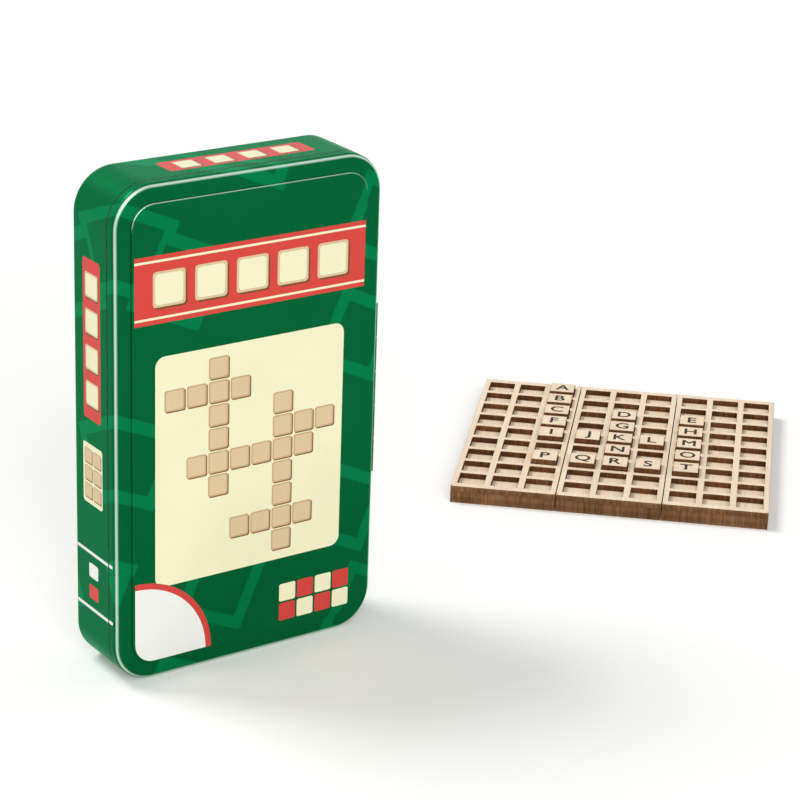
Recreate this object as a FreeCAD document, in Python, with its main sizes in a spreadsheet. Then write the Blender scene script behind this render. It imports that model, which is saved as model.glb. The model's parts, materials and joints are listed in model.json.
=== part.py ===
import FreeCAD, Part
import math
import os
import re
import Sketcher

# A word board game: a hinged tin that stands on its short end, and beside it a letter board
# in three panels with letter tiles in some of its cells.
# The origin is the middle of the end that the tin stands on. X runs across the tin's width,
# the lid faces -Y, and Z is up. All lengths are millimetres and all angles degrees.

os.makedirs("parts", exist_ok=True)
doc = FreeCAD.newDocument("word_board_game")

sizes = {
    # tin
    "tin_width": 115.0,
    "tin_height": 195.0,
    "tin_depth": 31.0,
    "tin_corner_radius": 16.0,
    "tin_sheet": 0.3,
    # lid
    "lid_depth": 6.0,
    "lid_inset": 0.15,
    "lid_edge_radius": 2.4,
    "emboss_inset": 7.0,
    "emboss_height": 0.8,
    "emboss_edge_radius": 0.6,
    # neck that the lid closes over
    "rim_gap": 0.3,
    "neck_clearance": 0.4,
    # seam round the back panel
    "seam_height": 2.2,
    "seam_width": 1.8,
    "seam_edge_radius": 0.8,
    "back_countersink": 1.2,
    # hinge on the right-hand long side
    "pin_radius": 0.65,
    "pin_clearance": 0.05,
    "pin_overhang": 0.8,
    "curl_sheet": 0.6,
    "curl_stand_off": 0.2,
    "strap_sheet": 0.6,
    "wall_strap_length": 5.0,
    "lid_strap_length": 2.6,
    "knuckle_length": 13.6,
    "knuckle_gap": 0.4,
    # board panels
    "cell_size": 11.8,
    "cell_wall": 3.0,
    "side_rim": 2.5,
    "end_rim": 4.0,
    "base_sheet": 5.4,
    "grid_height": 2.6,
    "panel_gap": 0.3,
    # letter tiles
    "tile_clearance": 0.25,
    "tile_thickness": 5.0,
    "tile_edge_radius": 0.35,
    "spare_gap": 0.4,
    "layer_gap": 0.2,
    # place of the board beside the tin
    "board_gap": 98.0,
    "board_back": 70.0,
    "board_turn": -43.0,
    # how far a cutting tool runs past the face that it cuts
    "overrun": 1.0,
    # how close to a level an edge has to lie to be rounded with it
    "level_slack": 0.001,
}

panelNames = ("left", "middle", "right")
panelColumns = 3
cellRows = 9
knuckleCount = 5
spareRows = 3

# Cells that hold a tile: row from the far edge of the board, column from its left edge.
tileCells = (
    (0, 2), (1, 2),
    (2, 2), (2, 4), (2, 6),
    (3, 2), (3, 4), (3, 6),
    (4, 2), (4, 3), (4, 4), (4, 5), (4, 6),
    (5, 4), (5, 6),
    (6, 2), (6, 3), (6, 4), (6, 5), (6, 6),
)

# Sizes worked out from the driving ones. "front" is the distance towards the lid from the
# middle of the tin's depth.
derived = {
    "back_front": "-tin_depth / 2",
    "seam_front": "back_front + seam_height",
    "lid_top_front": "tin_depth / 2",
    "lid_rim_front": "lid_top_front - emboss_height",
    "lid_edge_front": "lid_top_front - lid_depth",
    "shoulder_front": "lid_edge_front - rim_gap",
    "neck_front": "lid_rim_front - lid_edge_radius",
    "neck_inset": "lid_inset + tin_sheet + neck_clearance",
    "bore_radius": "pin_radius + pin_clearance",
    "curl_radius": "bore_radius + curl_sheet",
    "hinge_x": "tin_width / 2 + curl_stand_off + curl_radius",
    "hinge_front": "lid_edge_front - rim_gap / 2",
    "knuckle_pitch": "knuckle_length + knuckle_gap",
    "knuckle_run": "%d * knuckle_pitch - knuckle_gap" % knuckleCount,
    "hinge_foot": "tin_height / 2 - knuckle_run / 2",
    "cell_pitch": "cell_size + cell_wall",
    "panel_width": "%d * cell_pitch - cell_wall + 2 * side_rim" % panelColumns,
    "panel_length": "%d * cell_pitch - cell_wall + 2 * end_rim" % cellRows,
    "panel_pitch": "panel_width + panel_gap",
    "board_width": "%d * panel_pitch - panel_gap" % len(panelNames),
    "board_across": "board_width * abs(cos(board_turn * 1 deg))",
    "board_along": "panel_length * abs(sin(board_turn * 1 deg))",
    "board_reach": "(board_across + board_along) / 2",
    "board_x": "tin_width / 2 + board_gap + board_reach",
    "tile_size": "cell_size - 2 * tile_clearance",
    "spare_pitch": "tile_size + spare_gap",
    "layer_pitch": "tile_thickness + layer_gap",
}

# The spreadsheet of driving sizes.
sheet = doc.addObject("Spreadsheet::Sheet", "sizes")
for rowNumber, (alias, number) in enumerate(sizes.items(), 1):
    sheet.set("A%d" % rowNumber, alias)
    sheet.set("B%d" % rowNumber, str(number))
    sheet.setAlias("B%d" % rowNumber, alias)
doc.recompute()


# Expands a formula of size names into one that FreeCAD's expressions can read.
def formula(text):
    def swap(found):
        word = found.group(0)
        if word in derived:
            return "(" + formula(derived[word]) + ")"
        if word in sizes:
            return "sizes." + word
        return word
    return re.sub(r"[a-z][a-z_]+", swap, str(text))


def value(text):
    return float(sheet.evalExpression(formula(text)))


def bind(item, **properties):
    for name, text in properties.items():
        item.setExpression(name, formula(text))


def put(item, x, y, z):
    bind(item, **{"Placement.Base.x": x, "Placement.Base.y": y, "Placement.Base.z": z})


# Sketches and features of the tin's pressed sheet pieces.

def newBody(label):
    body = doc.addObject("PartDesign::Body", label)
    body.Label = label
    return body


# A sketch across the tin's depth, at a height towards the lid, centred on the tin's faces.
def crossSketch(body, name, front, *insets):
    sketch = body.newObject("Sketcher::SketchObject", name)
    plane = [part for part in body.Origin.OriginFeatures if part.Role == "XZ_Plane"][0]
    sketch.AttachmentSupport = (plane, [""])
    sketch.MapMode = "FlatFace"
    bind(sketch, **{"AttachmentOffset.Base.y": "tin_height / 2", "AttachmentOffset.Base.z": front})
    for inset in insets:
        roundedOutline(sketch, inset)
    return sketch


# The tin's outline, drawn in by an inset: four sides joined by four tangent arcs.
def roundedOutline(sketch, inset):
    width = "tin_width - 2 * (%s)" % inset
    height = "tin_height - 2 * (%s)" % inset
    radius = "tin_corner_radius - (%s)" % inset
    halfX = value(width) / 2
    halfY = value(height) / 2
    bend = value(radius)
    centreX = halfX - bend
    centreY = halfY - bend
    vector = FreeCAD.Vector
    sides = (
        (vector(-centreX, -halfY), vector(centreX, -halfY)),
        (vector(halfX, -centreY), vector(halfX, centreY)),
        (vector(centreX, halfY), vector(-centreX, halfY)),
        (vector(-halfX, centreY), vector(-halfX, -centreY)),
    )
    corners = ((centreX, -centreY), (centreX, centreY), (-centreX, centreY), (-centreX, -centreY))
    quarter = math.pi / 2
    lines = []
    arcs = []
    for turn, ((start, end), (x, y)) in enumerate(zip(sides, corners)):
        circle = Part.Circle(vector(x, y), vector(0, 0, 1), bend)
        lines.append(sketch.addGeometry(Part.LineSegment(start, end)))
        arcs.append(sketch.addGeometry(Part.ArcOfCircle(circle, (turn - 1) * quarter, turn * quarter)))
    for turn in range(len(lines)):
        sketch.addConstraint(Sketcher.Constraint("Tangent", lines[turn], 2, arcs[turn], 1))
        following = lines[(turn + 1) % len(lines)]
        sketch.addConstraint(Sketcher.Constraint("Tangent", arcs[turn], 2, following, 1))
        direction = "Horizontal" if turn % 2 == 0 else "Vertical"
        sketch.addConstraint(Sketcher.Constraint(direction, lines[turn]))
    for arc in arcs[1:]:
        sketch.addConstraint(Sketcher.Constraint("Equal", arcs[0], arc))
    sketch.addConstraint(Sketcher.Constraint("Symmetric", arcs[0], 3, arcs[2], 3, -1, 1))
    radiusRule = sketch.addConstraint(Sketcher.Constraint("Radius", arcs[0], bend))
    widthRule = sketch.addConstraint(
        Sketcher.Constraint("DistanceX", lines[3], 1, lines[1], 1, 2 * halfX))
    heightRule = sketch.addConstraint(
        Sketcher.Constraint("DistanceY", lines[0], 1, lines[2], 1, 2 * halfY))
    for rule, text in ((radiusRule, radius), (widthRule, width), (heightRule, height)):
        sketch.setExpression("Constraints[%d]" % rule, formula(text))


# A solid or a hollow band between two heights towards the lid.
def addBand(body, name, start, end, *insets):
    pad = body.newObject("PartDesign::Pad", name)
    pad.Profile = crossSketch(body, name + "_outline", start, *insets)
    bind(pad, Length="(%s) - (%s)" % (end, start))
    doc.recompute()
    return pad


# A pocket cut from one height to another; the cut runs towards the lid when the end is in front.
def cutBand(body, name, start, end, inset):
    pocket = body.newObject("PartDesign::Pocket", name)
    pocket.Profile = crossSketch(body, name + "_outline", start, inset)
    forward = value(end) > value(start)
    pocket.Reversed = forward
    depth = "(%s) - (%s)" % ((end, start) if forward else (start, end))
    bind(pocket, Length=depth)
    volumeBefore = body.Tip.BaseFeature.Shape.Volume
    doc.recompute()
    if not pocket.Shape.Volume < volumeBefore:
        raise RuntimeError("%s cuts nothing" % name)
    return pocket


# Rounds every edge of a feature that lies flat at one height towards the lid.
def roundEdges(body, name, feature, front, radius):
    level = -value(front)
    slack = value("level_slack")
    names = []
    for number, edge in enumerate(feature.Shape.Edges, 1):
        box = edge.BoundBox
        if abs(box.YMin - level) < slack and abs(box.YMax - level) < slack:
            names.append("Edge%d" % number)
    fillet = body.newObject("PartDesign::Fillet", name)
    fillet.Base = (feature, names)
    bind(fillet, Radius=radius)
    doc.recompute()
    return fillet


def makeTinWall():
    body = newBody("tin_wall")
    addBand(body, "wall_band", "seam_front", "shoulder_front", "0", "tin_sheet")
    addBand(body, "wall_shoulder", "shoulder_front - tin_sheet", "shoulder_front",
            "0", "neck_inset + tin_sheet")
    addBand(body, "wall_neck", "shoulder_front", "neck_front", "neck_inset", "neck_inset + tin_sheet")
    return body


def makeTinBack():
    body = newBody("tin_back_panel")
    blank = addBand(body, "back_blank", "back_front", "seam_front", "0")
    roundEdges(body, "seam_round", blank, "back_front", "seam_edge_radius")
    cutBand(body, "back_sunk_field", "back_front", "back_front + back_countersink", "seam_width")
    cutBand(body, "back_inside", "seam_front", "back_front + back_countersink + tin_sheet", "seam_width")
    return body


def makeTinLid():
    body = newBody("tin_lid")
    addBand(body, "lid_blank", "lid_edge_front", "lid_rim_front", "lid_inset")
    inside = cutBand(body, "lid_inside", "lid_edge_front", "lid_rim_front - tin_sheet",
                     "lid_inset + tin_sheet")
    hollow = roundEdges(body, "lid_inside_round", inside, "lid_rim_front - tin_sheet",
                        "lid_edge_radius - tin_sheet")
    roundEdges(body, "lid_edge_round", hollow, "lid_rim_front", "lid_edge_radius")
    field = addBand(body, "lid_raised_field", "lid_rim_front", "lid_top_front", "emboss_inset")
    roundEdges(body, "field_round", field, "lid_top_front", "emboss_edge_radius")
    cutBand(body, "field_inside", "lid_rim_front - tin_sheet", "lid_top_front - tin_sheet",
            "emboss_inset + tin_sheet")
    return body


# Hinge: a pin through curled knuckles, each with a strap that lies on the wall's or the lid's rim.

def addBox(label, x, y, z, length, width, height):
    box = doc.addObject("Part::Box", label)
    bind(box, Length=length, Width=width, Height=height)
    put(box, x, y, z)
    return box


def addRod(label, x, y, z, radius, height):
    rod = doc.addObject("Part::Cylinder", label)
    bind(rod, Radius=radius, Height=height)
    put(rod, x, y, z)
    return rod


def group(label, items):
    gathered = doc.addObject("Part::Compound", label)
    gathered.Label = label
    gathered.Links = items
    return gathered


def makeKnuckle(label, place, onLid):
    foot = "hinge_foot + %d * knuckle_pitch" % place
    if onLid:
        seat = "tin_width / 2 - lid_inset"
        strapBack = "lid_edge_front"
        strapLength = "lid_strap_length"
    else:
        seat = "tin_width / 2"
        strapBack = "shoulder_front - wall_strap_length"
        strapLength = "wall_strap_length"
    curl = addRod(label + "_curl", "hinge_x", "-(hinge_front)", foot, "curl_radius", "knuckle_length")
    strap = addBox(label + "_strap", seat, "-(%s + %s)" % (strapBack, strapLength), foot,
                   "tin_width / 2 + strap_sheet - (%s)" % seat, strapLength, "knuckle_length")
    bore = addRod(label + "_bore", "hinge_x", "-(hinge_front)", "%s - overrun" % foot,
                  "bore_radius", "knuckle_length + 2 * overrun")
    joined = doc.addObject("Part::Fuse", label + "_joined")
    joined.Base = curl
    joined.Tool = strap
    knuckle = doc.addObject("Part::Cut", label)
    knuckle.Base = joined
    knuckle.Tool = bore
    return knuckle


def makeHinge():
    wallKnuckles = []
    lidKnuckles = []
    for place in range(knuckleCount):
        onLid = place % 2 == 1
        knuckle = makeKnuckle("knuckle_%d" % place, place, onLid)
        (lidKnuckles if onLid else wallKnuckles).append(knuckle)
    pin = addRod("hinge_pin", "hinge_x", "-(hinge_front)", "hinge_foot - pin_overhang",
                 "pin_radius", "knuckle_run + 2 * pin_overhang")
    pin.Label = "hinge_pin"
    return [pin, group("hinge_wall_knuckles", wallKnuckles), group("hinge_lid_knuckles", lidKnuckles)]


# Board: three panels, each a base sheet with a grid of rails and crossbars on it.

board = FreeCAD.Placement(
    FreeCAD.Vector(value("board_x"), value("board_back"), 0),
    FreeCAD.Rotation(FreeCAD.Vector(0, 0, 1), value("board_turn")))


# Puts a piece at a place counted from the middle of the board's underside, along its own sides.
def putOnBoard(item, x, y, z):
    inBoard = FreeCAD.Placement(FreeCAD.Vector(value(x), value(y), value(z)), FreeCAD.Rotation())
    item.Placement = board.multiply(inBoard)


def makeBase(label):
    base = doc.addObject("Part::Box", label)
    base.Label = label
    bind(base, Length="panel_width", Width="panel_length", Height="base_sheet")
    return base


# Rails run the whole length of the panel: a rim on each long side and a wall between columns.
def makeRails(label):
    rails = []
    for number in range(panelColumns + 1):
        outer = number in (0, panelColumns)
        left = "side_rim + %d * cell_pitch - cell_wall" % number
        if number == 0:
            left = "0"
        rails.append(addBox("%s_%d" % (label, number), left, "0", "0",
                            "side_rim" if outer else "cell_wall", "panel_length", "grid_height"))
    return group(label, rails)


# Crossbars close each column between its rails: a rim at each end and a wall between rows.
def makeCrossbars(label):
    bars = []
    for column in range(panelColumns):
        left = "side_rim + %d * cell_pitch" % column
        for number in range(cellRows + 1):
            outer = number in (0, cellRows)
            near = "end_rim + %d * cell_pitch - cell_wall" % number
            if number == 0:
                near = "0"
            bars.append(addBox("%s_%d_%d" % (label, column, number), left, near, "0",
                               "cell_size", "end_rim" if outer else "cell_wall", "grid_height"))
    return group(label, bars)


def makePanel(number, name):
    left = "%d * panel_pitch - board_width / 2" % number
    near = "-panel_length / 2"
    base = makeBase(name + "_panel_base")
    rails = makeRails(name + "_panel_rails")
    bars = makeCrossbars(name + "_panel_crossbars")
    putOnBoard(base, left, near, "0")
    putOnBoard(rails, left, near, "base_sheet")
    putOnBoard(bars, left, near, "base_sheet")
    return [base, rails, bars]


# Letter tiles: square blocks with eased edges.

def makeTile(label, length, width, height):
    blank = doc.addObject("Part::Box", label + "_blank")
    bind(blank, Length=length, Width=width, Height=height)
    doc.recompute()
    radius = value("tile_edge_radius")
    tile = doc.addObject("Part::Fillet", label)
    tile.Label = label
    tile.Base = blank
    tile.Edges = [(number, radius, radius) for number in range(1, len(blank.Shape.Edges) + 1)]
    return tile


def makeBoardTiles():
    tiles = []
    for number, (row, column) in enumerate(tileCells, 1):
        tile = makeTile("letter_tile_%02d" % number, "tile_size", "tile_size", "tile_thickness")
        panel, inPanel = divmod(column, panelColumns)
        left = ("%d * panel_pitch - board_width / 2 + side_rim + %d * cell_pitch + tile_clearance"
                % (panel, inPanel))
        near = ("panel_length / 2 - end_rim - %d * cell_pitch - cell_size + tile_clearance" % row)
        putOnBoard(tile, left, near, "base_sheet")
        tiles.append(tile)
    return tiles


# The other tiles lie in the tin in rows, face to the lid, on the end that the tin stands on. Each
# row is as many tiles wide and deep as the tin has room for.
def makeSpareTiles():
    columns = int(value("(tin_width - 2 * tin_corner_radius) / spare_pitch"))
    layers = int(value("(shoulder_front - tin_sheet - seam_front - layer_gap) / layer_pitch"))
    rows = []
    for row in range(spareRows):
        label = "spare_tiles_row_%d" % (row + 1)
        tiles = []
        for layer in range(layers):
            for column in range(columns):
                tile = makeTile("%s_%d_%d" % (label, layer, column),
                                "tile_size", "tile_thickness", "tile_size")
                put(tile, "(%d - %d / 2) * spare_pitch + spare_gap / 2" % (column, columns),
                    "-(seam_front + %d * layer_pitch)" % (layer + 1),
                    "tin_sheet + %d * (tile_size + layer_gap)" % row)
                tiles.append(tile)
        rows.append(group(label, tiles))
    return rows


pieces = [makeTinWall(), makeTinBack(), makeTinLid()]
pieces += makeHinge()
for number, name in enumerate(panelNames):
    pieces += makePanel(number, name)
pieces += makeBoardTiles()
pieces += makeSpareTiles()
doc.recompute()

for item in doc.Objects:
    if "Invalid" in item.State or "Error" in item.State:
        raise RuntimeError("%s failed: %s" % (item.Label, item.State))
for piece in pieces:
    if piece.Shape.isNull() or not piece.Shape.isValid():
        raise RuntimeError("%s has no valid shape" % piece.Label)
for piece in pieces:
    piece.Shape.exportStep("parts/%s.step" % piece.Label)
    box = piece.Shape.optimalBoundingBox()
    print("%-28s solids %3d  volume %9.1f  x %.2f to %.2f  y %.2f to %.2f  z %.2f to %.2f" % (
        piece.Label, len(piece.Shape.Solids), piece.Shape.Volume,
        box.XMin, box.XMax, box.YMin, box.YMax, box.ZMin, box.ZMax))
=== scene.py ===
import bmesh
import bpy
import json
import math
import random
from mathutils import Matrix, Quaternion, Vector


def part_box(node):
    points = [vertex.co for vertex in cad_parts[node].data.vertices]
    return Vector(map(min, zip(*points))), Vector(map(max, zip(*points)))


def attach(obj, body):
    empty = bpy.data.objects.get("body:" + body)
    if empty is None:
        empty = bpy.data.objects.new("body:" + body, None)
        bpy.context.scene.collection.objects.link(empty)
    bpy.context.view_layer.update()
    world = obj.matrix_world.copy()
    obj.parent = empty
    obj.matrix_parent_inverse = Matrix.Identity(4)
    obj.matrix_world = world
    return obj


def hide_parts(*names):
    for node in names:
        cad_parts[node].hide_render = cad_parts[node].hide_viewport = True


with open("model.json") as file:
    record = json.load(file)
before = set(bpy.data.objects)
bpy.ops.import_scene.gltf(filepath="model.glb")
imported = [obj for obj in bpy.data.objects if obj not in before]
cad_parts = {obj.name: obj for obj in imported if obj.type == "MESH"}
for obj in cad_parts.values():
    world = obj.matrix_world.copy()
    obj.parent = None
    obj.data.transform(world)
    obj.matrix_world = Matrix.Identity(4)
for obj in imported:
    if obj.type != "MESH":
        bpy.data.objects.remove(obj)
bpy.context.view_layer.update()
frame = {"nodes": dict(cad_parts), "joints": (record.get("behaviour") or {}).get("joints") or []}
mm = 0.001
print("frame loaded:", len(frame["nodes"]), "nodes")


# Turns an sRGB hex colour into the linear one that sockets take.
def linear(hexColour):
    channels = [int(hexColour[place:place + 2], 16) / 255 for place in (1, 3, 5)]
    straight = [c / 12.92 if c <= 0.04045 else ((c + 0.055) / 1.055) ** 2.4 for c in channels]
    return straight + [1.0]


# Adds a shader node: settings by name, links and values by socket, ramp stops as (place, colour) pairs.
def addNode(tree, kind, sockets=None, stops=(), **settings):
    node = tree.nodes.new("ShaderNode" + kind)
    for name, setting in settings.items():
        setattr(node, name, setting)
    for socket, source in (sockets or {}).items():
        if isinstance(source, bpy.types.NodeSocket):
            tree.links.new(source, node.inputs[socket])
        else:
            node.inputs[socket].default_value = source
    for number, (place, colour) in enumerate(stops):
        if number >= len(node.color_ramp.elements):
            node.color_ramp.elements.new(place)
        node.color_ramp.elements[number].position = place
        node.color_ramp.elements[number].color = colour
    return node


def newMaterial(name):
    material = bpy.data.materials.new(name)
    material.use_nodes = True
    return material, material.node_tree, material.node_tree.nodes["Principled BSDF"]


black = (0, 0, 0, 1)
white = (1, 1, 1, 1)

tinPrint = {
    "green": "#006335",
    "ghostGreen": "#007c48",
    "edgeGreen": "#b2ffd8",
    "red": "#df4c45",
    "cream": "#fdf9d1",
    "white": "#fbfbf6",
    "tan": "#d3b182",
    "birch": "#e6cda4",
    "brown": "#7b5433",
    # pale green painted along the lid's pressed edges as a highlight
    "rubbed": "#cfe6d8",
    "clearInks": {"green": 0.75, "red": 0.3},  # how much of the metal shines through
    "dotSize": 0.5 * mm,
    "cloudSize": 40 * mm,
    "inkRange": (0.7, 1.3),
    "inkTone": (0.955, 1.045),
    "ghostPitch": 54 * mm,
    "ghostTurn": math.radians(24),
    "ghostJitter": 0.7,
    "ghostBand": (0.20, 0.205, 0.29, 0.295),  # where a square's paler band starts and ends, in pitches
    "wearSize": 9 * mm,
    "wearHeart": 0.3,  # share of the width that the painted highlight covers evenly
    "wearStrength": 0.85,
    "wearFade": (-0.5, 0.3),
    "wearRange": (0.45, 0.6),
    "peelSize": 1.6 * mm,
    "peelDepth": 0.012 * mm,
    "peelStrength": 0.5,
    "roughness": (0.31, 0.41),
    "specular": 0.06,
    "coat": 0.03,
    "coatRoughness": 0.1,
}


# Paler squares on the green ground, laid on the sum of X and Y so that they run on round the corners.
def ghostSquares(tree, coords, ground):
    look = tinPrint
    parts = addNode(tree, "SeparateXYZ", {0: coords}).outputs
    around = addNode(tree, "Math", {0: parts["X"], 1: parts["Y"]}, operation="ADD")
    flat = addNode(tree, "CombineXYZ", {"X": around.outputs[0], "Y": parts["Z"]})
    turned = addNode(tree, "Mapping", {"Vector": flat.outputs[0], "Rotation": (0, 0, look["ghostTurn"])})
    squares = addNode(tree, "TexVoronoi", {"Vector": turned.outputs[0], "Scale": 1 / look["ghostPitch"],
                                           "Randomness": look["ghostJitter"]},
                      distance="CHEBYCHEV", voronoi_dimensions="2D")
    stops = [(0.0, black)] + list(zip(look["ghostBand"], (black, white, white, black)))
    bands = addNode(tree, "ValToRGB", {"Fac": squares.outputs["Distance"]}, stops)
    inked = addNode(tree, "Mix", {0: bands.outputs["Color"], 6: ground, 7: linear(look["ghostGreen"])},
                    data_type="RGBA")
    return inked.outputs[2]


# A pressed edge with a highlight painted pale along it: its depth, its width and the height that the painted
# highlight comes down to.
def paintedEdgeHighlight(tree, coords, ground, depth, width, reach):
    look = tinPrint
    place = addNode(tree, "SeparateXYZ", {0: coords}).outputs
    # a pale line of painted highlight at the given depth along Y
    away = addNode(tree, "Math", {0: place["Y"], 1: depth}, operation="SUBTRACT")
    apart = addNode(tree, "Math", {0: away.outputs[0]}, operation="ABSOLUTE")
    line = addNode(tree, "MapRange", {"Value": apart.outputs[0], "From Min": look["wearHeart"] * width,
                                      "From Max": width, "To Min": look["wearStrength"], "To Max": 0.0})
    patches = addNode(tree, "TexNoise", {"Vector": coords, "Scale": 1 / look["wearSize"], "Detail": 3.0})
    low, high = look["wearFade"]
    # the painted highlight fades out below the given height, as light from above leaves it
    above = addNode(tree, "MapRange", {"Value": place["Z"], "From Min": reach - 2 * look["wearSize"],
                                       "From Max": reach, "To Min": low, "To Max": high})
    highlightPatches = addNode(tree, "Math", {0: patches.outputs["Fac"], 1: above.outputs[0]}, operation="ADD")
    low, high = look["wearRange"]
    patchy = addNode(tree, "MapRange", {"Value": highlightPatches.outputs[0], "From Min": low, "From Max": high})
    rubbed = addNode(tree, "Math", {0: line.outputs[0], 1: patchy.outputs[0]}, operation="MULTIPLY")
    highlightedGround = addNode(tree, "Mix", {0: rubbed.outputs[0], 6: ground, 7: linear(look["rubbed"])},
                   data_type="RGBA")
    return highlightedGround.outputs[2]


# Litho printed tinplate: flat ink under a varnish, so the colour is even and the light breaks up
# only in the faint orange peel of the varnish. Clear inks let the metal shine through and tint what
# it mirrors. The green ground has its squares, and a highlight painted pale along the edges it is given.
def printedTinplate(name, ink, paintedHighlightEdges=()):
    look = tinPrint
    material, tree, shader = newMaterial(name)
    coords = addNode(tree, "TexCoord").outputs["Object"]
    # ink lies down unevenly at about the size of a printing dot, drawn coarse enough to show
    dots = addNode(tree, "TexNoise", {"Vector": coords, "Scale": 1 / look["dotSize"], "Detail": 1.0})
    cloud = addNode(tree, "TexNoise", {"Vector": coords, "Scale": 1 / look["cloudSize"], "Detail": 2.0})
    spread = addNode(tree, "Math", {0: dots.outputs["Fac"], 1: cloud.outputs["Fac"]}, operation="ADD")
    thin, thick = look["inkRange"]
    dark, light = look["inkTone"]
    tone = addNode(tree, "MapRange", {"Value": spread.outputs[0], "From Min": thin, "From Max": thick,
                                      "To Min": dark, "To Max": light})
    colour = linear(look[ink])
    if ink == "green":
        colour = ghostSquares(tree, coords, colour)
        shader.inputs["Specular Tint"].default_value = linear(look["edgeGreen"])
    for edge in paintedHighlightEdges:
        colour = paintedEdgeHighlight(tree, coords, colour, *edge)
    shaded = addNode(tree, "Mix", {0: 1.0, 6: colour, 7: tone.outputs[0]},
                     data_type="RGBA", blend_type="MULTIPLY")
    tree.links.new(shaded.outputs[2], shader.inputs["Base Color"])
    peel = addNode(tree, "TexNoise", {"Vector": coords, "Scale": 1 / look["peelSize"], "Detail": 1.0})
    bump = addNode(tree, "Bump", {"Height": peel.outputs["Fac"], "Strength": look["peelStrength"],
                                  "Distance": look["peelDepth"]})
    tree.links.new(bump.outputs[0], shader.inputs["Normal"])
    smooth, dull = look["roughness"]
    rough = addNode(tree, "MapRange", {"Value": peel.outputs["Fac"], "To Min": smooth, "To Max": dull})
    tree.links.new(rough.outputs[0], shader.inputs["Roughness"])
    shader.inputs["Metallic"].default_value = look["clearInks"].get(ink, 0.0)
    shader.inputs["Specular IOR Level"].default_value = look["specular"]
    shader.inputs["Coat Weight"].default_value = look["coat"]
    shader.inputs["Coat Roughness"].default_value = look["coatRoughness"]
    return material


bareMetal = {
    "tinplate": "#c4c6c4",
    "steel": "#b9bbbd",
    "rollWidth": 0.5 * mm,
    "rollLength": 30 * mm,
    "streakTone": (0.86, 1.08),
    "streakDepth": 0.01 * mm,
    "streakStrength": 0.3,
    "roughness": (0.22, 0.42),
}


# Bare rolled metal: a bright grey with fine streaks along the rolling direction.
def rolledMetal(name, colour):
    look = bareMetal
    material, tree, shader = newMaterial(name)
    coords = addNode(tree, "TexCoord").outputs["Object"]
    size = (look["rollWidth"], look["rollWidth"], look["rollLength"])
    along = addNode(tree, "Mapping", {"Vector": coords, "Scale": size}, vector_type="TEXTURE")
    streaks = addNode(tree, "TexNoise", {"Vector": along.outputs[0], "Scale": 1.0, "Detail": 3.0})
    dark, light = look["streakTone"]
    tone = addNode(tree, "MapRange", {"Value": streaks.outputs["Fac"], "To Min": dark, "To Max": light})
    shaded = addNode(tree, "Mix", {0: 1.0, 6: linear(colour), 7: tone.outputs[0]},
                     data_type="RGBA", blend_type="MULTIPLY")
    smooth, dull = look["roughness"]
    rough = addNode(tree, "MapRange", {"Value": streaks.outputs["Fac"], "To Min": smooth, "To Max": dull})
    bump = addNode(tree, "Bump", {"Height": streaks.outputs["Fac"], "Strength": look["streakStrength"],
                                  "Distance": look["streakDepth"]})
    tree.links.new(shaded.outputs[2], shader.inputs["Base Color"])
    tree.links.new(rough.outputs[0], shader.inputs["Roughness"])
    tree.links.new(bump.outputs[0], shader.inputs["Normal"])
    shader.inputs["Metallic"].default_value = 1.0
    return material


# Sizes across and along the grain, in millimetres, as the wood's "grain" attribute is.
plywood = {
    "light": "#fae6cc",
    "grain": "#f0d7b6",
    "fleck": "#cfae82",
    "smoke": "#b98f62",
    "grainSize": (1.1, 26),
    "bandSize": (9, 120),
    "fleckSize": (0.35, 3.2),
    "grainRange": (0.38, 0.72),
    "bandRange": (0.3, 0.7),
    "bandTone": (0.93, 1.05),
    "fleckRange": (0.66, 0.78),
    "fleckStrength": 0.6,
    "smokeRange": (0.15, 0.6),
    "smokeStrength": 0.85,
    "grainDepth": 0.06 * mm,
    "grainStrength": 0.35,
    "roughness": (0.5, 0.68),
}


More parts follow.
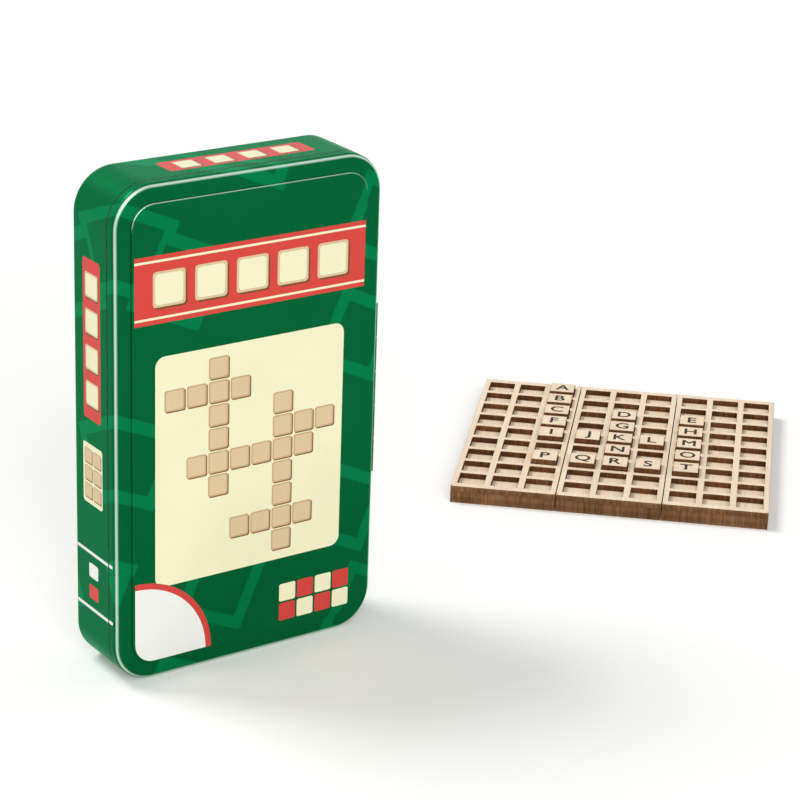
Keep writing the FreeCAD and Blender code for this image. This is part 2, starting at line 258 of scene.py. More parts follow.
# Sanded birch plywood: pale and fine grained along the panel, with short darker flecks and a tan
# smoke line where the laser ran along an edge. The "grain" attribute is a piece's own place in
# millimetres, with Y along the grain, and "scorch" is 1 on the vertices of a cut edge.
def sandedBirch(name):
    look = plywood
    material, tree, shader = newMaterial(name)
    place = addNode(tree, "Attribute", attribute_name="grain").outputs["Vector"]
    scorch = addNode(tree, "Attribute", attribute_name="scorch").outputs["Fac"]
    noises = []
    for size, detail in (("grainSize", 4.0), ("bandSize", 2.0), ("fleckSize", 1.0)):
        width, length = look[size]
        stretched = addNode(tree, "Mapping", {"Vector": place, "Scale": (width, length, width)},
                            vector_type="TEXTURE")
        noises.append(addNode(tree, "TexNoise", {"Vector": stretched.outputs[0], "Scale": 1.0,
                                                 "Detail": detail}).outputs["Fac"])
    grain, band, fleck = noises
    low, high = look["grainRange"]
    streak = addNode(tree, "MapRange", {"Value": grain, "From Min": low, "From Max": high})
    ground = addNode(tree, "Mix", {0: streak.outputs[0], 6: linear(look["light"]), 7: linear(look["grain"])},
                     data_type="RGBA")
    low, high = look["bandRange"]
    dark, light = look["bandTone"]
    tone = addNode(tree, "MapRange", {"Value": band, "From Min": low, "From Max": high,
                                      "To Min": dark, "To Max": light})
    shaded = addNode(tree, "Mix", {0: 1.0, 6: ground.outputs[2], 7: tone.outputs[0]},
                     data_type="RGBA", blend_type="MULTIPLY")
    low, high = look["fleckRange"]
    mark = addNode(tree, "MapRange", {"Value": fleck, "From Min": low, "From Max": high,
                                      "To Max": look["fleckStrength"]})
    flecked = addNode(tree, "Mix", {0: mark.outputs[0], 6: shaded.outputs[2], 7: linear(look["fleck"])},
                      data_type="RGBA")
    uneven = addNode(tree, "Math", {0: scorch, 1: band}, operation="MULTIPLY")
    low, high = look["smokeRange"]
    smoke = addNode(tree, "MapRange", {"Value": uneven.outputs[0], "From Min": low, "From Max": high,
                                       "To Max": look["smokeStrength"]})
    smoked = addNode(tree, "Mix", {0: smoke.outputs[0], 6: flecked.outputs[2], 7: linear(look["smoke"])},
                     data_type="RGBA")
    tree.links.new(smoked.outputs[2], shader.inputs["Base Color"])
    bump = addNode(tree, "Bump", {"Height": grain, "Strength": look["grainStrength"],
                                  "Distance": look["grainDepth"]})
    smooth, dull = look["roughness"]
    rough = addNode(tree, "MapRange", {"Value": grain, "To Min": smooth, "To Max": dull})
    tree.links.new(bump.outputs[0], shader.inputs["Normal"])
    tree.links.new(rough.outputs[0], shader.inputs["Roughness"])
    return material


# Burns go from light to dark. Bare sizes are in millimetres, as the "grain" attribute is.
cutEdge = {
    "edgeBurn": ("#8c6542", "#6c4b2d", "#482e19"),
    # the cells' burn is darker than the outer edge, with the shade in the cells and along the tiles painted
    # in
    "cellBurn": ("#7d5230", "#58351b", "#391f0e"),
    "beamWidth": 0.8,
    "beamLength": 12,
    "patchSize": 16,
    "plyThickness": 2.0,
    "plyRange": (0.7, 1.3),
    "plyTone": 0.07,
    "burnRange": (0.65, 1.45),
    "beamDepth": 0.08 * mm,
    "beamStrength": 0.4,
    "roughness": 0.8,
    "specular": 0.2,
}


# Laser-cut plywood edge: toasted brown, a little streaked up and down by the beam, with the plies
# showing faintly as level bands. A darker copy, nearly black, paints the shade in the cells and on the tile
# sides.
def charredEdge(name, burns):
    look = cutEdge
    material, tree, shader = newMaterial(name)
    place = addNode(tree, "Attribute", attribute_name="grain").outputs["Vector"]
    size = (look["beamWidth"], look["beamWidth"], look["beamLength"])
    beam = addNode(tree, "Mapping", {"Vector": place, "Scale": size}, vector_type="TEXTURE")
    streaks = addNode(tree, "TexNoise", {"Vector": beam.outputs[0], "Scale": 1.0, "Detail": 2.0})
    patches = addNode(tree, "TexNoise", {"Vector": place, "Scale": 1 / look["patchSize"], "Detail": 2.0})
    height = addNode(tree, "SeparateXYZ", {0: place}).outputs["Z"]
    plies = addNode(tree, "Math", {0: height, 1: look["plyThickness"]}, operation="PINGPONG")
    low, high = look["plyRange"]
    plyTone = addNode(tree, "MapRange", {"Value": plies.outputs[0], "From Min": low, "From Max": high,
                                         "To Min": -look["plyTone"], "To Max": look["plyTone"]})
    mixed = addNode(tree, "Math", {0: streaks.outputs["Fac"], 1: patches.outputs["Fac"]}, operation="ADD")
    summed = addNode(tree, "Math", {0: mixed.outputs[0], 1: plyTone.outputs[0]}, operation="ADD")
    low, high = look["burnRange"]
    burn = addNode(tree, "MapRange", {"Value": summed.outputs[0], "From Min": low, "From Max": high})
    steps = len(burns) - 1
    colour = addNode(tree, "ValToRGB", {"Fac": burn.outputs[0]},
                     [(number / steps, linear(burnt)) for number, burnt in enumerate(burns)])
    tree.links.new(colour.outputs["Color"], shader.inputs["Base Color"])
    bump = addNode(tree, "Bump", {"Height": streaks.outputs["Fac"], "Strength": look["beamStrength"],
                                  "Distance": look["beamDepth"]})
    tree.links.new(bump.outputs[0], shader.inputs["Normal"])
    shader.inputs["Roughness"].default_value = look["roughness"]
    shader.inputs["Specular IOR Level"].default_value = look["specular"]
    return material


engraving = {
    "char": "#1d110a",
    "soot": "#33200f",
    "sootSize": 0.5,  # millimetres
    "sootRange": (0.3, 0.8),
    "roughness": 0.9,
}


# Charcoal left by engraving: nearly black brown, dull and uneven.
def burntLetter(name):
    look = engraving
    material, tree, shader = newMaterial(name)
    place = addNode(tree, "Attribute", attribute_name="grain").outputs["Vector"]
    soot = addNode(tree, "TexNoise", {"Vector": place, "Scale": 1 / look["sootSize"], "Detail": 2.0})
    low, high = look["sootRange"]
    colour = addNode(tree, "ValToRGB", {"Fac": soot.outputs["Fac"]},
                     ((low, linear(look["char"])), (high, linear(look["soot"]))))
    tree.links.new(colour.outputs["Color"], shader.inputs["Base Color"])
    shader.inputs["Roughness"].default_value = look["roughness"]
    return material


# A highlight is painted pale along the lid's outer edge all round, and along the edge of its raised field
# only along the top.
lidHighlights = {
    "outerDepth": 1.5 * mm,
    "outerWidth": 0.5 * mm,
    "fieldDepth": 0.3 * mm,
    "fieldWidth": 0.28 * mm,
    "fieldReach": 9 * mm,
}
lidLow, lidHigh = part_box("tin_lid")
# the pale lines along these two edges are painted highlights
outerEdge = (lidLow.y + lidHighlights["outerDepth"], lidHighlights["outerWidth"], lidLow.z)
fieldEdge = (lidLow.y + lidHighlights["fieldDepth"], lidHighlights["fieldWidth"], lidHigh.z - lidHighlights["fieldReach"])
greenTin = printedTinplate("greenPrintedTinplate", "green")
greenLid = printedTinplate("greenPrintedLid", "green", (outerEdge, fieldEdge))
inks = {ink: printedTinplate(ink + "PrintedTinplate", ink)
        for ink in ("red", "cream", "white", "tan", "birch", "brown")}
tinplate = rolledMetal("bareTinplate", bareMetal["tinplate"])
steel = rolledMetal("tinnedSteelWire", bareMetal["steel"])
birch = sandedBirch("sandedBirchPlywood")
charred = charredEdge("laserCutPlywoodEdge", cutEdge["edgeBurn"])
shadedCharred = charredEdge("laserCutPlywoodCell", cutEdge["cellBurn"])
charcoal = burntLetter("engravedCharcoal")
print("materials made:", len(bpy.data.materials))


# Makes an object of a bmesh, with its materials, on its CAD body, and hides the CAD nodes it replaces.
def makePiece(name, bm, materials, body, replaced=()):
    mesh = bpy.data.meshes.new(name)
    bm.to_mesh(mesh)
    bm.free()
    for material in materials:
        mesh.materials.append(material)
    piece = bpy.data.objects.new(name, mesh)
    bpy.context.scene.collection.objects.link(piece)
    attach(piece, body)
    if replaced:
        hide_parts(*replaced)


tinLow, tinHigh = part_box("tin_wall")
tinMiddle = (tinLow + tinHigh) / 2
tin = {
    "cornerRadius": 16 * mm,
    "sharpAngle": math.radians(28),
    "weldGap": 0.001 * mm,
    "skin": 0.1 * mm,
    "edgeOn": 0.1,  # a face whose normal has no more than this along Y stands edge on
    "sawnEnd": 0.5,
    "seamDepth": 1.2 * mm,
}


# How far a point lies inside the tin's outline, seen from the lid.
def inset(point):
    half = (tinHigh - tinLow) / 2
    across = abs(point.x - tinMiddle.x) - (half.x - tin["cornerRadius"])
    up = abs(point.z - tinMiddle.z) - (half.z - tin["cornerRadius"])
    beyond = math.hypot(max(across, 0), max(up, 0)) + min(max(across, up), 0)
    return tin["cornerRadius"] - beyond


def facesOut(face):
    centre = face.calc_center_median() - tinMiddle
    return face.normal.x * centre.x + face.normal.z * centre.z > 0


# The outer side of a pressed sheet: what faces along Y that way, and what stands out round its edge.
def outerSide(face, way):
    along = face.normal.y * way
    return along > tin["edgeOn"] or (abs(along) <= tin["edgeOn"] and facesOut(face))


def lidPrinted(face):
    return outerSide(face, -1)


def backPrinted(face):
    return outerSide(face, 1)


def wallPrinted(face):
    return facesOut(face) and inset(face.calc_center_median()) < tin["skin"]


# The knuckles are curled from the printed sheet, so only their sawn ends are bare.
def knucklePrinted(face):
    return abs(face.normal.z) < tin["sawnEnd"]


# A smooth shaded copy of a pressed sheet piece. Printed faces take the first material, bare ones
# the second.
def sheetCopy(name, node, materials, body, printed=None):
    bm = bmesh.new()
    bm.from_mesh(frame["nodes"][node].data)
    bmesh.ops.remove_doubles(bm, verts=bm.verts, dist=tin["weldGap"])
    bm.normal_update()
    for face in bm.faces:
        face.smooth = True
        face.material_index = 0 if printed is None or printed(face) else 1
    for edge in bm.edges:
        edge.smooth = len(edge.link_faces) == 2 and edge.calc_face_angle() < tin["sharpAngle"]
    makePiece(name, bm, materials, body, [node])


sheet = [greenTin, tinplate]
sheetCopy("tinLidShell", "tin_lid", [greenLid, tinplate], "lid", lidPrinted)
sheetCopy("tinWallBand", "tin_wall", sheet, "tin", wallPrinted)
sheetCopy("tinBackPanel", "tin_back_panel", sheet, "tin", backPrinted)
sheetCopy("hingeWallKnuckles", "hinge_wall_knuckles", sheet, "tin", knucklePrinted)
sheetCopy("hingeLidKnuckles", "hinge_lid_knuckles", sheet, "lid", knucklePrinted)
sheetCopy("hingePin", "hinge_pin", [steel], "tin")
print("tin dressed")


# A face of the tin as a flat sheet to print on: X to its right, Y up it and Z out of it.
def printFace(origin, right, up):
    right = Vector(right)
    up = Vector(up)
    turn = Matrix((right, up, right.cross(up))).transposed().to_4x4()
    return Matrix.Translation(origin) @ turn


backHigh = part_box("tin_back_panel")[1]
backSheet = backHigh.y - tin["seamDepth"]
lidFace = printFace((tinMiddle.x, lidLow.y, tinMiddle.z), (1, 0, 0), (0, 0, 1))
leftFace = printFace((tinLow.x, tinMiddle.y, tinMiddle.z), (0, -1, 0), (0, 0, 1))
rightFace = printFace((tinHigh.x, tinMiddle.y, tinMiddle.z), (0, 1, 0), (0, 0, 1))
leftRim = printFace((lidLow.x, tinMiddle.y, tinMiddle.z), (0, -1, 0), (0, 0, 1))
rightRim = printFace((lidHigh.x, tinMiddle.y, tinMiddle.z), (0, 1, 0), (0, 0, 1))
topFace = printFace((tinMiddle.x, tinMiddle.y, tinHigh.z), (1, 0, 0), (0, 1, 0))
backFace = printFace((tinMiddle.x, backSheet, tinMiddle.z), (-1, 0, 0), (0, 0, 1))

film = {
    "height": 0.012 * mm,
    "cornerSteps": 6,
    "discSteps": 96,
    "discCornerSteps": 10,
}

# Shares of a printed tile's side.
printedTile = {
    "shadow": 0.055,
    "corner": 0.1,
    "edge": 0.07,
}


# Gathers printed patches, one bmesh for each ink. Places and sizes are in millimetres.
class PrintRun:
    def __init__(self, face):
        self.face = face
        self.sheets = {}

    # Lifts a flat shape to its film's height, puts it on the face and keeps it with its ink.
    def lay(self, bm, ink, layer):
        grown = bmesh.ops.extrude_face_region(bm, geom=bm.faces[:])
        raised = [item for item in grown["geom"] if isinstance(item, bmesh.types.BMVert)]
        bmesh.ops.translate(bm, vec=(0, 0, layer * film["height"]), verts=raised)
        bmesh.ops.recalc_face_normals(bm, faces=bm.faces[:])
        bmesh.ops.transform(bm, matrix=self.face, verts=bm.verts[:])
        mesh = bpy.data.meshes.new("patch")
        bm.to_mesh(mesh)
        bm.free()
        self.sheets.setdefault(ink, bmesh.new()).from_mesh(mesh)
        bpy.data.meshes.remove(mesh)

    # A square cornered or rounded block, by its middle and its sides.
    def block(self, ink, layer, x, y, width, height, radius=0):
        bm = bmesh.new()
        bmesh.ops.create_grid(bm, x_segments=1, y_segments=1, size=0.5)
        bmesh.ops.scale(bm, vec=(width * mm, height * mm, 1), verts=bm.verts[:])
        if radius:
            bmesh.ops.bevel(bm, geom=bm.verts[:], offset=radius * mm, affect="VERTICES",
                            segments=film["cornerSteps"], profile=0.5, material=-1)
        bmesh.ops.translate(bm, vec=(x * mm, y * mm, 0), verts=bm.verts[:])
        self.lay(bm, ink, layer)

    # A picture of a blank tile: its shadow down to the right, its worn edge and its face.
    def tile(self, edge, face, layer, x, y, size):
        fall = printedTile["shadow"] * size
        corner = printedTile["corner"] * size
        inner = size * (1 - 2 * printedTile["edge"])
        self.block("brown", layer, x + fall, y - fall, size, size, corner)
        self.block(edge, layer + 1, x, y, size, size, corner)
        self.block(face, layer + 2, x, y, inner, inner, corner)

    # A quarter disc in the lower left corner of a field, with the field's corner rounded.
    def quarter(self, ink, layer, x, y, radius, corner):
        bm = bmesh.new()
        bmesh.ops.create_circle(bm, cap_ends=True, segments=film["discSteps"], radius=radius * mm)
        for normal in ((-1, 0, 0), (0, -1, 0)):
            bmesh.ops.bisect_plane(bm, geom=bm.verts[:] + bm.edges[:] + bm.faces[:], plane_co=(0, 0, 0),
                                   plane_no=normal, clear_outer=True)
        heart = min(bm.verts, key=lambda vert: vert.co.length)
        bmesh.ops.bevel(bm, geom=[heart], offset=corner * mm, affect="VERTICES",
                        segments=film["discCornerSteps"], profile=0.5, material=-1)
        bmesh.ops.translate(bm, vec=(x * mm, y * mm, 0), verts=bm.verts[:])
        self.lay(bm, ink, layer)

    def finish(self, name, body):
        for ink, bm in self.sheets.items():
            makePiece(name + ink.capitalize(), bm, [inks[ink]], body)


# Places in a row, evenly about a middle.
def row(middle, count, pitch):
    return [middle + (number - (count - 1) / 2) * pitch for number in range(count)]


# Sizes of the lid's print in millimetres, from the middle of the lid.
lidPrint = {
    "field": (49.6, 89.6),  # half the raised field's width and height
    "fieldCorner": 8.2,
    "band": (58, 26),
    "bandLine": 0.9,
    "bandLineInset": 2.2,
    "bandTiles": 5,
    "bandTilePitch": 17.6,
    "bandTileSize": 13.6,
    "panel": (0, -14, 82, 92),
    "panelCorner": 4,
    "squarePitch": 9.4,
    "squareSize": 8.5,
    "disc": 33,
    "discRim": 2.4,
    "chequer": (30, -79),
    "chequerColumns": 4,
    "chequerRows": 2,
    "chequerPitch": 8.2,
    "chequerSize": 7.4,
    "chequerCorner": 0.8,
}
crossword = (
    "..#.....",
    "####....",
    "..#..#..",
    "..#..###",
    ".######.",
    "..#..#..",
    ".....#..",
    "...####.",
    ".....#..",
)


def layBand(run):
    y, height = lidPrint["band"]
    width = 2 * lidPrint["field"][0]
    run.block("red", 1, 0, y, width, height)
    for side in (-1, 1):
        lineY = y + side * (height / 2 - lidPrint["bandLineInset"])
        run.block("cream", 2, 0, lineY, width, lidPrint["bandLine"])
    for x in row(0, lidPrint["bandTiles"], lidPrint["bandTilePitch"]):
        run.tile("birch", "cream", 2, x, y, lidPrint["bandTileSize"])


def layCrossword(run):
    x, y, width, height = lidPrint["panel"]
    run.block("cream", 1, x, y, width, height, lidPrint["panelCorner"])
    pitch = lidPrint["squarePitch"]
    for squareY, line in zip(row(y, len(crossword), -pitch), crossword):
        for squareX, mark in zip(row(x, len(line), pitch), line):
            if mark == "#":
                run.tile("tan", "birch", 2, squareX, squareY, lidPrint["squareSize"])


def layCorner(run):
    halfWidth, halfHeight = lidPrint["field"]
    radius = lidPrint["disc"]
    for ink, layer, reach in (("red", 2, radius), ("white", 3, radius - lidPrint["discRim"])):
        run.quarter(ink, layer, -halfWidth, -halfHeight, reach, lidPrint["fieldCorner"])


def layChequer(run):
    x, y = lidPrint["chequer"]
    pitch = lidPrint["chequerPitch"]
    size = lidPrint["chequerSize"]
    for down, squareY in enumerate(row(y, lidPrint["chequerRows"], -pitch)):
        for across, squareX in enumerate(row(x, lidPrint["chequerColumns"], pitch)):
            ink = "red" if (down + across) % 2 else "cream"
            run.block(ink, 1, squareX, squareY, size, size, lidPrint["chequerCorner"])


def printLid():
    run = PrintRun(lidFace)
    layBand(run)
    layCrossword(run)
    layCorner(run)
    layChequer(run)
    run.finish("lidPrint", "lid")


# Sizes of the print on the two long sides in millimetres, from the middle of the side.
sidePrint = {
    "leftMiddle": -1.5,
    "rightMiddle": 4.4,
    "corner": 1.2,
    "bar": (36, 13, 62),
    "barTiles": 4,
    "barTilePitch": 14,
    "barTileSize": 9.6,
    "label": (-17, 14.6, 24),
    "labelColumns": 2,
    "labelColumnPitch": 6.6,
    "labelRows": 3,
    "labelRowPitch": 7,
    "labelTileSize": 5.8,
    "stripes": (-49, -72),
    "stripeHeight": 1.3,
    "stripeBack": 14.1,
    "stripeFront": 9.6,
    "rimBack": 10.1,
    "rimFront": 12.7,
    "marks": {"red": -64.9, "white": -56.1},
    "markSize": (7, 5.8),
    "markCorner": 0.8,
}


def layStripes(run, left, right):
    for y in sidePrint["stripes"]:
        run.block("white", 1, (left + right) / 2, y, right - left, sidePrint["stripeHeight"])


def printSide(name, face, middle, left, right):
    run = PrintRun(face)
    y, width, height = sidePrint["bar"]
    run.block("red", 1, middle, y, width, height, sidePrint["corner"])
    for tileY in row(y, sidePrint["barTiles"], sidePrint["barTilePitch"]):
        run.tile("birch", "cream", 2, middle, tileY, sidePrint["barTileSize"])
    y, width, height = sidePrint["label"]
    run.block("cream", 1, middle, y, width, height, sidePrint["corner"])
    for tileY in row(y, sidePrint["labelRows"], sidePrint["labelRowPitch"]):
        for tileX in row(middle, sidePrint["labelColumns"], sidePrint["labelColumnPitch"]):
            run.tile("tan", "birch", 2, tileX, tileY, sidePrint["labelTileSize"])
    layStripes(run, left, right)
    width, height = sidePrint["markSize"]
    for ink, markY in sidePrint["marks"].items():
        run.block(ink, 1, middle, markY, width, height, sidePrint["markCorner"])
    run.finish(name, "tin")


# The stripes of a side carried on over the lid's rim.
def printRim(name, face, left, right):
    run = PrintRun(face)
    layStripes(run, left, right)
    run.finish(name, "lid")


# Sizes of the print on the top in millimetres, from its middle.
topPrint = {
    "bar": (3, 1.5, 62, 12),
    "corner": 1.2,
    "tiles": 4,
    "tilePitch": 14,
    "tileSize": 8.6,
}


def printTop():
    run = PrintRun(topFace)
    x, y, width, height = topPrint["bar"]
    run.block("red", 1, x, y, width, height, topPrint["corner"])
    for tileX in row(x, topPrint["tiles"], topPrint["tilePitch"]):
        run.tile("birch", "cream", 2, tileX, y, topPrint["tileSize"])
    run.finish("topPrint", "tin")


# Sizes of the print on the back in millimetres, from its middle.
backPrint = {
    "panel": (0, 22, 88, 104),
    "panelCorner": 4,
    "lines": 9,
    "linePitch": 9,
    "lineSize": (72, 2.2),
    "lineCorner": 1,
    "label": (0, -62, 88, 30),
    "labelCorner": 3,
    "labelRim": 2,
    "labelInnerCorner": 2,
}


def printBack():
    run = PrintRun(backFace)
    x, y, width, height = backPrint["panel"]
    run.block("cream", 1, x, y, width, height, backPrint["panelCorner"])
    for lineY in row(y, backPrint["lines"], backPrint["linePitch"]):
        run.block("tan", 2, x, lineY, *backPrint["lineSize"], backPrint["lineCorner"])
    x, y, width, height = backPrint["label"]
    rims = 2 * backPrint["labelRim"]
    run.block("red", 1, x, y, width, height, backPrint["labelCorner"])
    run.block("white", 2, x, y, width - rims, height - rims, backPrint["labelInnerCorner"])
    run.finish("backPrint", "tin")


stripeBack = sidePrint["stripeBack"]
stripeFront = sidePrint["stripeFront"]
rimBack = sidePrint["rimBack"]
rimFront = sidePrint["rimFront"]
printLid()
printSide("leftPrint", leftFace, sidePrint["leftMiddle"], -stripeBack, stripeFront)
printSide("rightPrint", rightFace, sidePrint["rightMiddle"], -stripeFront, stripeBack)
printRim("leftRimPrint", leftRim, rimBack, rimFront)
printRim("rightRimPrint", rightRim, -rimFront, -rimBack)
printTop()
printBack()
print("print laid on the tin")

# The board's own axes: its X is the way that the right panel slides.
slide = [joint for joint in frame["joints"] if joint["name"] == "right_panel_slide"][0]
boardTurn = math.atan2(slide["axis"][1], slide["axis"][0])
baseLow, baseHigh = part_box("middle_panel_base")
boardMiddle = Vector(((baseLow.x + baseHigh.x) / 2, (baseLow.y + baseHigh.y) / 2, 0))
boardFrame = Matrix.Translation(boardMiddle) @ Matrix.Rotation(boardTurn, 4, "Z")

# Slopes are what a face's normal has along Z: up to the first it is a sawn side, and below the
# second it smokes the vertices round it.
wood = {
    "sawnSlope": 0.5,
    "smokedSlope": 0.9,
    "logSize": 400,  # millimetres that pieces are cut from, at random places
}
chance = random.Random(7)


# A CAD node's lowest and highest corner along the board's own axes.
def boardBox(node):
    toBoard = boardFrame.inverted()
    points = [toBoard @ vert.co for vert in frame["nodes"][node].data.vertices]
    low = Vector([min(point[axis] for point in points) for axis in range(3)])
    high = Vector([max(point[axis] for point in points) for axis in range(3)])
    return low, high


# Writes the attributes that the wood materials read: each vertex's place in millimetres with a
# shift of the piece's own, and 1 on the vertices that the laser smoked.
def writeGrain(bm, smoked=True):
    place = bm.verts.layers.float_vector.new("grain")
    scorch = bm.verts.layers.float.new("scorch")
    offset = Vector([chance.uniform(0, wood["logSize"]) for axis in range(2)] + [0])
    bm.normal_update()
    for vert in bm.verts:
        vert[place] = vert.co / mm + offset
        cut = any(abs(face.normal.z) < wood["smokedSlope"] for face in vert.link_faces)
        vert[scorch] = 1.0 if smoked and cut else 0.0


def sawnSides(bm):
    for face in bm.faces:
        face.material_index = 0 if abs(face.normal.z) > wood["sawnSlope"] else 1


panel = {
    "columns": 3,
    "rows": 9,
    "cellSize": 11.8 * mm,
    "cellWall": 3.0 * mm,
    "sideRim": 2.5 * mm,
    "endRim": 4.0 * mm,
    "edgeEase": 0.25 * mm,
    "edgeSteps": 2,
    "smokeWidth": 0.8 * mm,
    "sharpAngle": math.radians(60),
}


def easeEdges(bm, edges, ease, steps):
    bmesh.ops.bevel(bm, geom=edges, offset=ease, affect="EDGES", segments=steps, profile=0.5, material=-1)
    bm.normal_update()


def makeBase(name):
    node = name + "_panel_base"
    low, high = boardBox(node)
    bm = bmesh.new()
    bmesh.ops.create_cube(bm, size=1)
    bmesh.ops.scale(bm, vec=high - low, verts=bm.verts[:])
    bmesh.ops.translate(bm, vec=(low + high) / 2, verts=bm.verts[:])
    halfway = (low.z + high.z) / 2
    eased = [edge for edge in bm.edges if min(vert.co.z for vert in edge.verts) < halfway]
    easeEdges(bm, eased, panel["edgeEase"], panel["edgeSteps"])
    sawnSides(bm)
    writeGrain(bm, smoked=False)
    bmesh.ops.transform(bm, matrix=boardFrame, verts=bm.verts[:])
    makePiece(name + "PanelBase", bm, [birch, charred], name + "_panel", [node])


# Cuts a flat sheet along both sides of its cells, and beside them where the smoke line ends.
def cutAlong(bm, starts, across):
    cell = panel["cellSize"]
    smoke = panel["smokeWidth"]
    for start in starts:
        for place in (start, start + cell, start - smoke, start + cell + smoke):
            bmesh.ops.bisect_plane(bm, geom=bm.verts[:] + bm.edges[:] + bm.faces[:],
                                   plane_co=place * across, plane_no=across)


# The panel's top sheet: a plate cut along the sides of its cells, with the cells taken out.
def makeGrid(name):
    low, high = boardBox(name + "_panel_rails")
    size = high - low
    cell = panel["cellSize"]
    pitch = cell + panel["cellWall"]
    bm = bmesh.new()
    bmesh.ops.create_grid(bm, x_segments=1, y_segments=1, size=0.5)
    bmesh.ops.scale(bm, vec=(size.x, size.y, 1), verts=bm.verts[:])
    bmesh.ops.translate(bm, vec=((low.x + high.x) / 2, (low.y + high.y) / 2, low.z), verts=bm.verts[:])
    columns = [low.x + panel["sideRim"] + number * pitch for number in range(panel["columns"])]
    rows = [low.y + panel["endRim"] + number * pitch for number in range(panel["rows"])]
    cutAlong(bm, columns, Vector((1, 0, 0)))
    cutAlong(bm, rows, Vector((0, 1, 0)))
    holes = []
    for face in bm.faces:
        centre = face.calc_center_median()
        inColumn = any(0 < centre.x - start < cell for start in columns)
        inRow = any(0 < centre.y - start < cell for start in rows)
        if inColumn and inRow:
            holes.append(face)
    bmesh.ops.delete(bm, geom=holes, context="FACES")
    grown = bmesh.ops.extrude_face_region(bm, geom=bm.faces[:])
    raised = [item for item in grown["geom"] if isinstance(item, bmesh.types.BMVert)]
    bmesh.ops.translate(bm, vec=(0, 0, size.z), verts=raised)
    bmesh.ops.recalc_face_normals(bm, faces=bm.faces[:])
    sharp = []
    for edge in bm.edges:
        top = max(vert.co.z for vert in edge.verts)
        if edge.calc_face_angle() > panel["sharpAngle"] and top > low.z + size.z / 2:
            sharp.append(edge)
    easeEdges(bm, sharp, panel["edgeEase"], panel["edgeSteps"])
    sawnSides(bm)
    # the walls of the cells take the darker copy, painted with the shade that falls in the cells
    for face in bm.faces:
        centre = face.calc_center_median()
        inside = min(centre.x - low.x, high.x - centre.x, centre.y - low.y, high.y - centre.y)
        if face.material_index == 1 and inside > panel["sideRim"] / 2:
            face.material_index = 2
    writeGrain(bm)
    bmesh.ops.transform(bm, matrix=boardFrame, verts=bm.verts[:])
    replaced = [name + "_panel_rails", name + "_panel_crossbars"]
    makePiece(name + "PanelGrid", bm, [birch, charred, shadedCharred], name + "_panel", replaced)


for name in ("left", "middle", "right"):
    makeBase(name)
    makeGrid(name)
print("board panels made")

tile = {
    "edgeEase": 0.35 * mm,
    "edgeSteps": 3,
    "smokeWidth": 0.6 * mm,
    "letterSize": 9.2 * mm,
    "letterEdge": 0.2 * mm,
    "letterFilm": 0.02 * mm,
    "letterSteps": 5,
}


# A capital letter as a thin film of char, made bolder by its edge and centred on the origin.
def letterFilm(letter):
    curve = bpy.data.curves.new("letter", "FONT")
    curve.body = letter
    curve.size = tile["letterSize"]
    curve.bevel_depth = tile["letterEdge"]
    curve.bevel_resolution = 0
    curve.resolution_u = tile["letterSteps"]
    source = bpy.data.objects.new("letter", curve)
    bpy.context.scene.collection.objects.link(source)
    bpy.context.view_layer.update()
    mesh = bpy.data.meshes.new_from_object(source.evaluated_get(bpy.context.evaluated_depsgraph_get()))
    bpy.data.objects.remove(source)
    low = [min(vert.co[axis] for vert in mesh.vertices) for axis in range(2)]
    high = [max(vert.co[axis] for vert in mesh.vertices) for axis in range(2)]
    mesh.transform(Matrix.Translation((-(low[0] + high[0]) / 2, -(low[1] + high[1]) / 2, 0)))
    mesh.transform(Matrix.Scale(tile["letterFilm"] / tile["letterEdge"], 4, (0, 0, 1)))
    return mesh


# A tile lying on the origin with its face up, and its letter burnt on the face.
def tileMesh(width, length, thickness, letter=None):
    bm = bmesh.new()
    bmesh.ops.create_cube(bm, size=1)
    bmesh.ops.scale(bm, vec=(width, length, thickness), verts=bm.verts[:])
    bmesh.ops.translate(bm, vec=(0, 0, thickness / 2), verts=bm.verts[:])
    easeEdges(bm, bm.edges[:], tile["edgeEase"], tile["edgeSteps"])
    large = [face for face in bm.faces if face.calc_area() > width * length / 2]  # its face and back
    bmesh.ops.inset_individual(bm, faces=large, thickness=tile["smokeWidth"])
    bm.normal_update()
    sawnSides(bm)
    if letter:
        woodFaces = len(bm.faces)
        char = letterFilm(letter)
        char.transform(Matrix.Translation((0, 0, thickness)))
        bm.from_mesh(char)
        bm.faces.ensure_lookup_table()
        for face in bm.faces[woodFaces:]:
            face.material_index = 2
    mesh = bpy.data.meshes.new("tile")
    bm.to_mesh(mesh)
    bm.free()
    return mesh


# Adds a tile to a bmesh, with a grain of its own.
def placeTile(target, mesh, place):
    bm = bmesh.new()
    bm.from_mesh(mesh)
    writeGrain(bm)
    bmesh.ops.transform(bm, matrix=place, verts=bm.verts[:])
    placed = bpy.data.meshes.new("placed")
    bm.to_mesh(placed)
    bm.free()
    target.from_mesh(placed)
    bpy.data.meshes.remove(placed)


# the tiles' sides take the darker edge, painted with the shade along the tiles
tileWoods = [birch, shadedCharred, charcoal]
alphabet = "ABCDEFGHIJKLMNOPQRSTUVWXYZ"
boardTiles = sorted(node for node in frame["nodes"] if node.startswith("letter_tile_"))
for letter, node in zip(alphabet, boardTiles):
    low, high = boardBox(node)
    size = high - low
    mesh = tileMesh(size.x, size.y, size.z, letter)
    place = boardFrame @ Matrix.Translation(((low.x + high.x) / 2, (low.y + high.y) / 2, low.z))
    bm = bmesh.new()
    placeTile(bm, mesh, place)
    body = node.replace("letter_", "")
    makePiece("letterTile" + node[-2:], bm, tileWoods, body, [node])
print("letter tiles made:", len(boardTiles))

spare = {
    "columns": 7,
    "layers": 4,
    "gap": 0.4 * mm,
    "layerGap": 0.2 * mm,
}


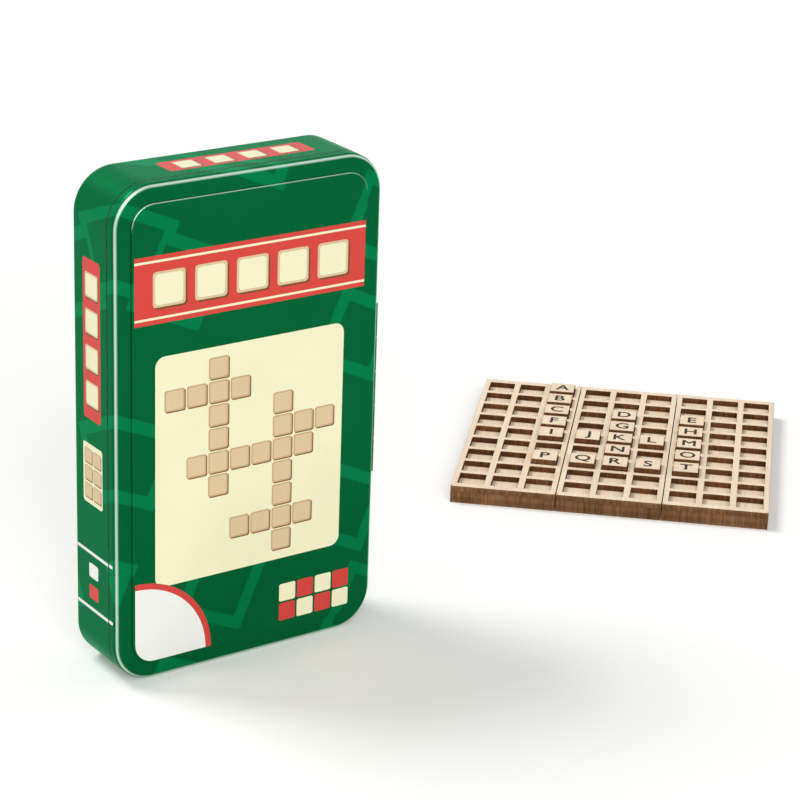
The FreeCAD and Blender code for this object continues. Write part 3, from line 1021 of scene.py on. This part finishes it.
# A row of spare tiles in the tin, face to the lid. Only the front layer can be seen, so only its
# tiles carry letters.
def makeSpareRow(number, node):
    low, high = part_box(node)
    size = high.z - low.z
    thickness = (high.y - low.y - (spare["layers"] - 1) * spare["layerGap"]) / spare["layers"]
    plain = tileMesh(size, size, thickness)
    bm = bmesh.new()
    for column in range(spare["columns"]):
        x = low.x + size / 2 + column * (size + spare["gap"])
        letter = alphabet[(number * spare["columns"] + column) % len(alphabet)]
        for layer in range(spare["layers"]):
            back = high.y - layer * (thickness + spare["layerGap"])
            place = Matrix.Translation((x, back, low.z + size / 2)) @ Matrix.Rotation(math.pi / 2, 4, "X")
            inFront = layer == spare["layers"] - 1
            mesh = tileMesh(size, size, thickness, letter) if inFront else plain
            placeTile(bm, mesh, place)
    makePiece("spareTilesRow%d" % (number + 1), bm, tileWoods, "tin", [node])


spareRows = sorted(node for node in frame["nodes"] if node.startswith("spare_tiles_row_"))
for number, node in enumerate(spareRows):
    makeSpareRow(number, node)
print("spare tiles made:", len(spareRows), "rows")

# Stage: a white floor that keeps the shadow, and broad even lamps far off, from the back left and
# from the front.
stage = {
    "floorSize": 12,
    "floorColour": "#f7f7f5",
    "floorRoughness": 0.9,
    "floorSpecular": 0.1,
    "floorDrop": 0.05 * mm,
    "floorGlow": 0.16,
    "worldStrength": 0.3,
}


# 1 for rays that see the background, straight or in a mirror or glass, and 0 for rays that light.
def seenRays(tree):
    rays = addNode(tree, "LightPath").outputs
    bounced = addNode(tree, "Math", {0: rays["Is Glossy Ray"], 1: rays["Is Transmission Ray"]},
                      operation="MAXIMUM")
    seen = addNode(tree, "Math", {0: rays["Is Camera Ray"], 1: bounced.outputs[0]}, operation="MAXIMUM")
    return seen.outputs[0]


# White seamless paper: matt and even, so it shows only the shadow.
def seamlessPaper(name):
    material, tree, shader = newMaterial(name)
    shader.inputs["Base Color"].default_value = linear(stage["floorColour"])
    shader.inputs["Roughness"].default_value = stage["floorRoughness"]
    shader.inputs["Specular IOR Level"].default_value = stage["floorSpecular"]
    shader.inputs["Emission Color"].default_value = white
    glow = addNode(tree, "Math", {0: seenRays(tree), 1: stage["floorGlow"]}, operation="MULTIPLY")
    tree.links.new(glow.outputs[0], shader.inputs["Emission Strength"])
    return material


def makeFloor():
    bm = bmesh.new()
    bmesh.ops.create_grid(bm, x_segments=1, y_segments=1, size=stage["floorSize"] / 2)
    bmesh.ops.translate(bm, vec=(0, 0, -stage["floorDrop"]), verts=bm.verts[:])
    mesh = bpy.data.meshes.new("floor")
    bm.to_mesh(mesh)
    bm.free()
    mesh.materials.append(seamlessPaper("whiteSeamlessPaper"))
    floor = bpy.data.objects.new("floor", mesh)
    bpy.context.scene.collection.objects.link(floor)


def makeWorld():
    world = bpy.data.worlds.new("studio")
    world.use_nodes = True
    tree = world.node_tree
    background = tree.nodes["Background"]
    background.inputs["Color"].default_value = white
    strength = addNode(tree, "MapRange", {"Value": seenRays(tree), "To Min": stage["worldStrength"],
                                          "To Max": 1.0})
    tree.links.new(strength.outputs[0], background.inputs["Strength"])
    bpy.context.scene.world = world


lamps = {
    "keyBackLeft": {"from": (-0.35, 0.55, 0.9), "spread": 24, "strength": 1.5},
    "fillFront": {"from": (-0.33, -0.79, 0.5), "spread": 36, "strength": 1.5},
}


def makeLamps():
    for name, lamp in lamps.items():
        light = bpy.data.lights.new(name, "SUN")
        light.angle = math.radians(lamp["spread"])
        light.energy = lamp["strength"]
        item = bpy.data.objects.new(name, light)
        item.rotation_euler = Vector(lamp["from"]).to_track_quat("Z", "Y").to_euler()
        bpy.context.scene.collection.objects.link(item)


cameraView = {
    "lens": 120,
    "sensor": 36,
    "location": (-0.4915, -0.8075, 0.4631),
    "looks": (0.5391, 0.7629, -0.3569),
    "roll": math.radians(2),
}


def makeCamera():
    camera = bpy.data.cameras.new("photoCamera")
    camera.lens = cameraView["lens"]
    camera.sensor_width = cameraView["sensor"]
    item = bpy.data.objects.new("photoCamera", camera)
    item.location = cameraView["location"]
    aim = Vector(cameraView["looks"]).to_track_quat("-Z", "Y")
    item.rotation_euler = (aim @ Quaternion((0, 0, 1), cameraView["roll"])).to_euler()
    bpy.context.scene.collection.objects.link(item)
    bpy.context.scene.camera = item


makeFloor()
makeWorld()
makeLamps()
makeCamera()
bpy.context.scene.view_settings.view_transform = "Standard"
print("stage set")
